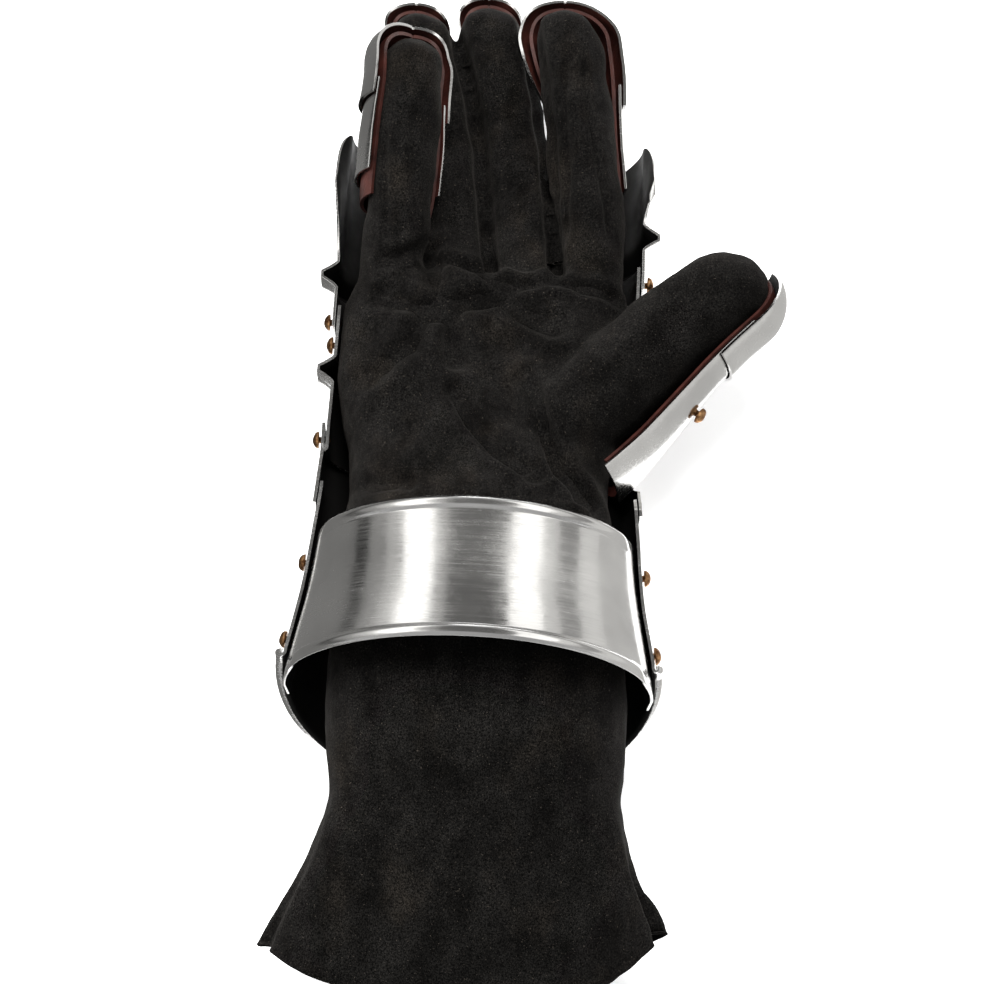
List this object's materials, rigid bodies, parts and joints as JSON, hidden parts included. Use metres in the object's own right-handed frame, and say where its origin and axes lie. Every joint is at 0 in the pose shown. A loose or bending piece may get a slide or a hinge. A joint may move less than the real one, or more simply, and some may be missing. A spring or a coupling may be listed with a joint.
{
  "type": "armoured gauntlet",
  "caption": "Right-hand armoured gauntlet: flared steel cuff, wrist band, ridged hand plates and finger plates over a hollow dark suede glove.",
  "frame": {"origin": "centre of the bounding box's bottom, in the plane that the gauntlet rests on", "axes": "+Y from the open cuff towards the fingertips, +Z from the armoured back of the hand towards the palm, +X from the little finger towards the thumb"},
  "size_m": [0.192, 0.4282, 0.1099],
  "materials": {
    "steel": "polished",
    "suede": "suede nap",
    "leather": "satin",
    "brass": "satin"
  },
  "bodies": {
    "root": {"glove_arm": "suede", "glove_hand": "suede", "little_stall": "suede", "little_strip": "leather", "little_plate": "steel", "little_tip_plate": "steel", "ring_stall": "suede", "ring_strip": "leather", "ring_plate": "steel", "ring_tip_plate": "steel", "middle_stall": "suede", "middle_strip": "leather", "middle_plate": "steel", "middle_tip_plate": "steel", "index_stall": "suede", "index_strip": "leather", "index_plate": "steel", "index_tip_plate": "steel", "thumb_stall": "suede", "thumb_strip": "leather", "thumb_plate": "steel", "thumb_tip_plate": "steel", "thumb_rivet": "brass", "cuff_plate": "steel", "wrist_band": "steel", "wrist_lame": "steel", "hand_plate": "steel", "knuckle_plate": "steel", "rivet_left_1": "brass", "rivet_left_2": "brass", "rivet_left_3": "brass", "rivet_left_4": "brass", "rivet_left_5": "brass", "rivet_right_1": "brass", "rivet_right_2": "brass", "rivet_right_3": "brass", "rivet_right_5": "brass"}
  },
  "joints": []
}
